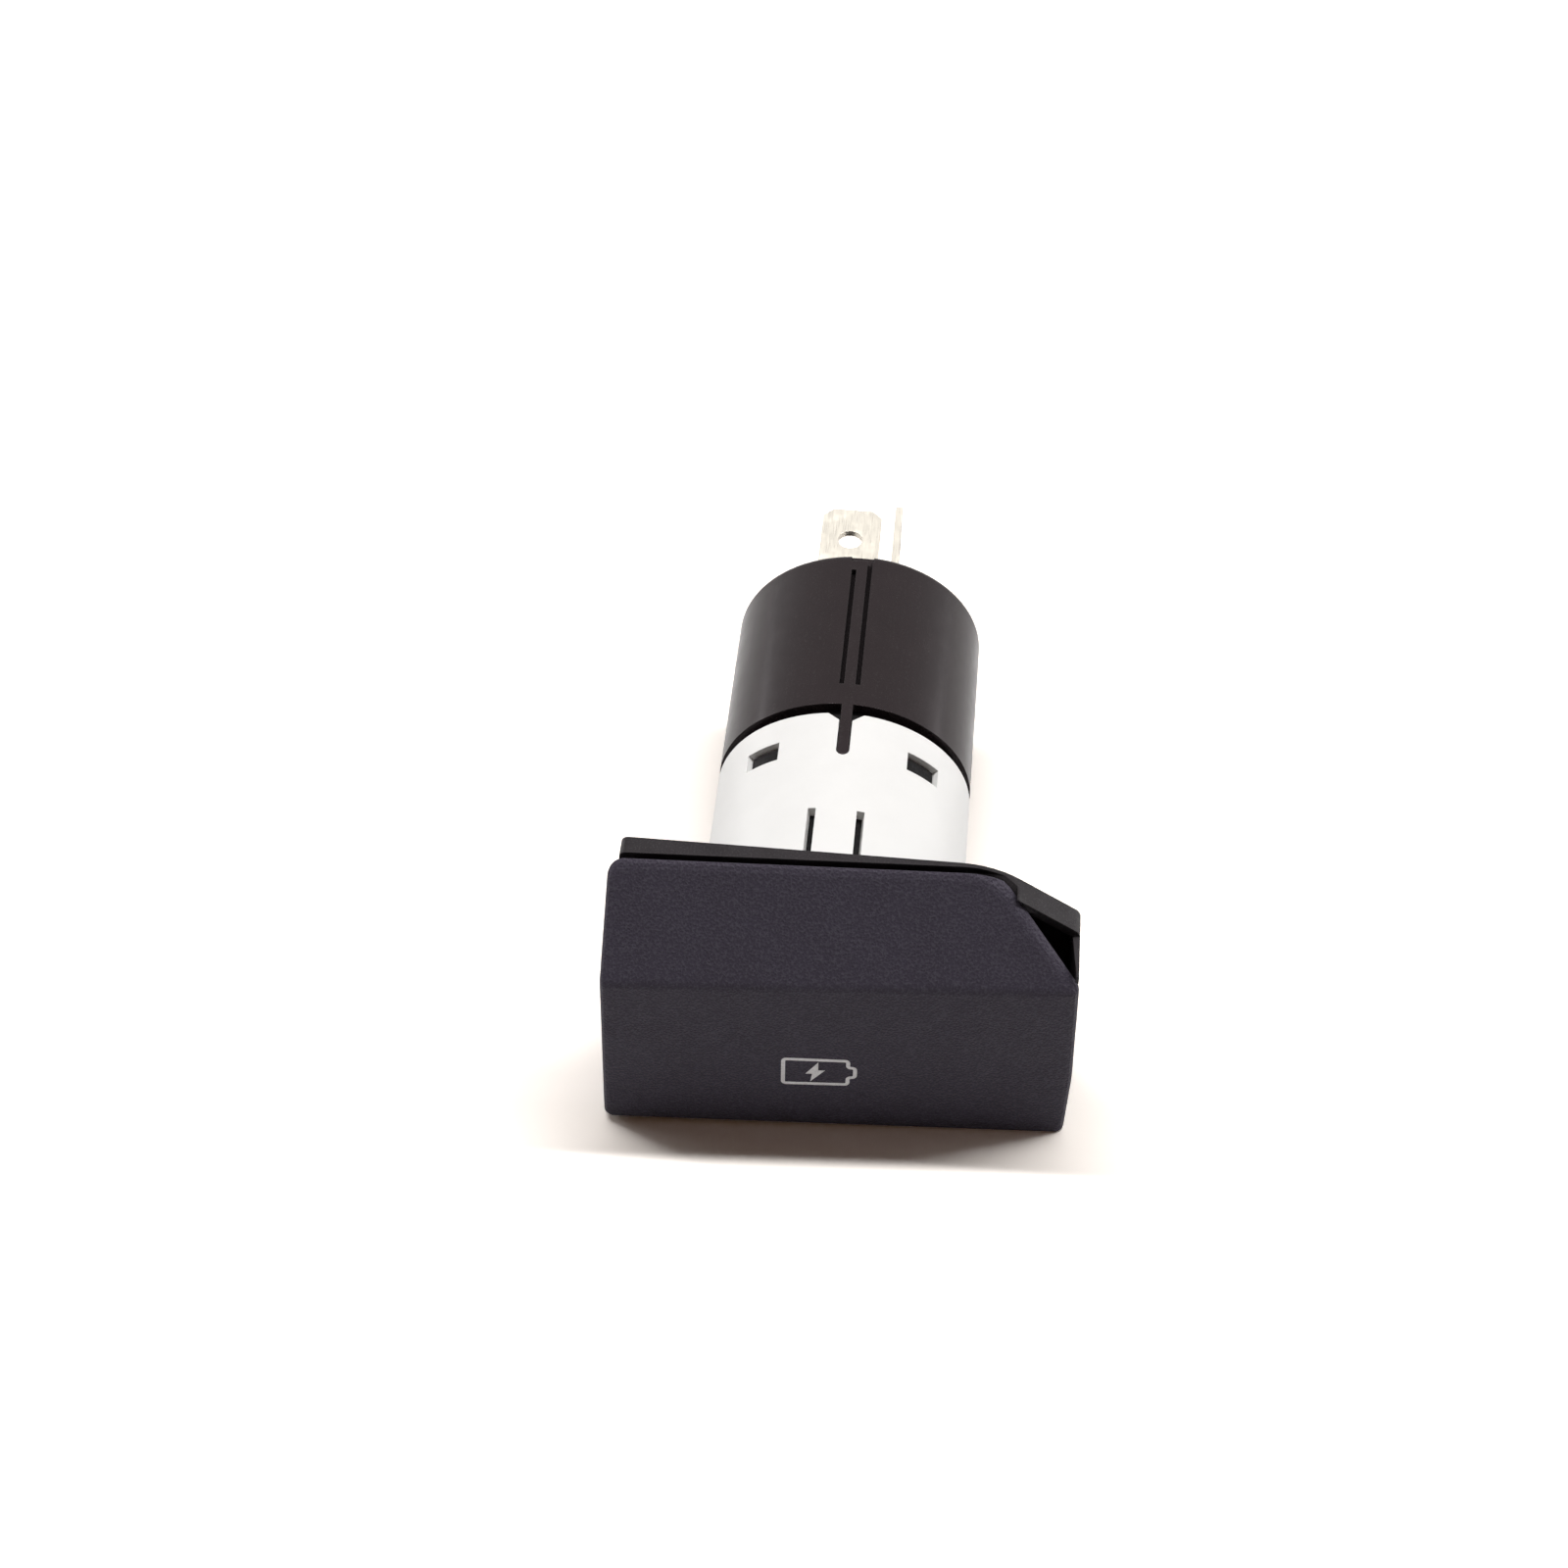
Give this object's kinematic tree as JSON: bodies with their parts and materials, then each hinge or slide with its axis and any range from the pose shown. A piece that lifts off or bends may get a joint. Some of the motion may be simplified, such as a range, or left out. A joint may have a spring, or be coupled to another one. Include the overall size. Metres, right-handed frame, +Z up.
{
  "type": "car usb socket",
  "caption": "Round dashboard charging socket with a flat port and an oval port behind a hinged faceted cover, a light ring, a slim frame and blade terminals.",
  "frame": {"origin": "on the axis of the round body, in the plane of the frame's rear face that lies on the dashboard", "axes": "+Y along the body's axis towards the blade terminals, -Y towards the cover, +Z up along the barrel's key tongue, +X to the finger recess"},
  "size_m": [0.0514, 0.076, 0.0335],
  "materials": {
    "frame_plastic": "smooth satin",
    "grained_plastic": "fine grain",
    "barrel_plastic": "satin",
    "inner_plastic": "matte",
    "face_plastic": "gloss",
    "white_plastic": "milky satin",
    "rubber": "matte",
    "pin_steel": "bright",
    "spring_steel": "satin",
    "shell_steel": "bright",
    "tongue_white": "matte",
    "tongue_black": "matte",
    "contact_gold": "bright",
    "board_green": "satin",
    "led_resin": "clear yellow",
    "coil_ferrite": "matte",
    "can_aluminium": "satin",
    "chip_resin": "matte",
    "blade_tin": "tin plated"
  },
  "bodies": {
    "socket": {"frame": "frame_plastic", "hinge_pin": "pin_steel", "catch_spring": "spring_steel", "lid_buffers": "rubber", "light_ring": "white_plastic", "barrel": "barrel_plastic", "inner_body": "inner_plastic", "usb_face": "face_plastic", "usb_a_shell": "shell_steel", "usb_a_tongue": "tongue_white", "usb_a_contacts": "contact_gold", "usb_c_shell": "shell_steel", "usb_c_tongue": "tongue_black", "usb_c_contacts": "contact_gold", "port_board": "board_green", "ring_leds": "led_resin", "power_board": "board_green", "board_pins": "contact_gold", "power_coil": "coil_ferrite", "capacitors": "can_aluminium", "control_chip": "chip_resin", "chip_legs": "pin_steel", "diode": "chip_resin", "blade_carrier": "inner_plastic", "live_blade": "blade_tin", "ground_blade": "blade_tin"},
    "cover": {"lid_shell": "grained_plastic", "lid_liner": "frame_plastic"}
  },
  "joints": [
    {"name": "cover_hinge", "type": "hinge", "parent": "socket", "child": "cover", "pos_m": [-0.0218, -0.0044, 0], "axis": [0, 0, -1], "range_deg": [0, 90]}
  ]
}
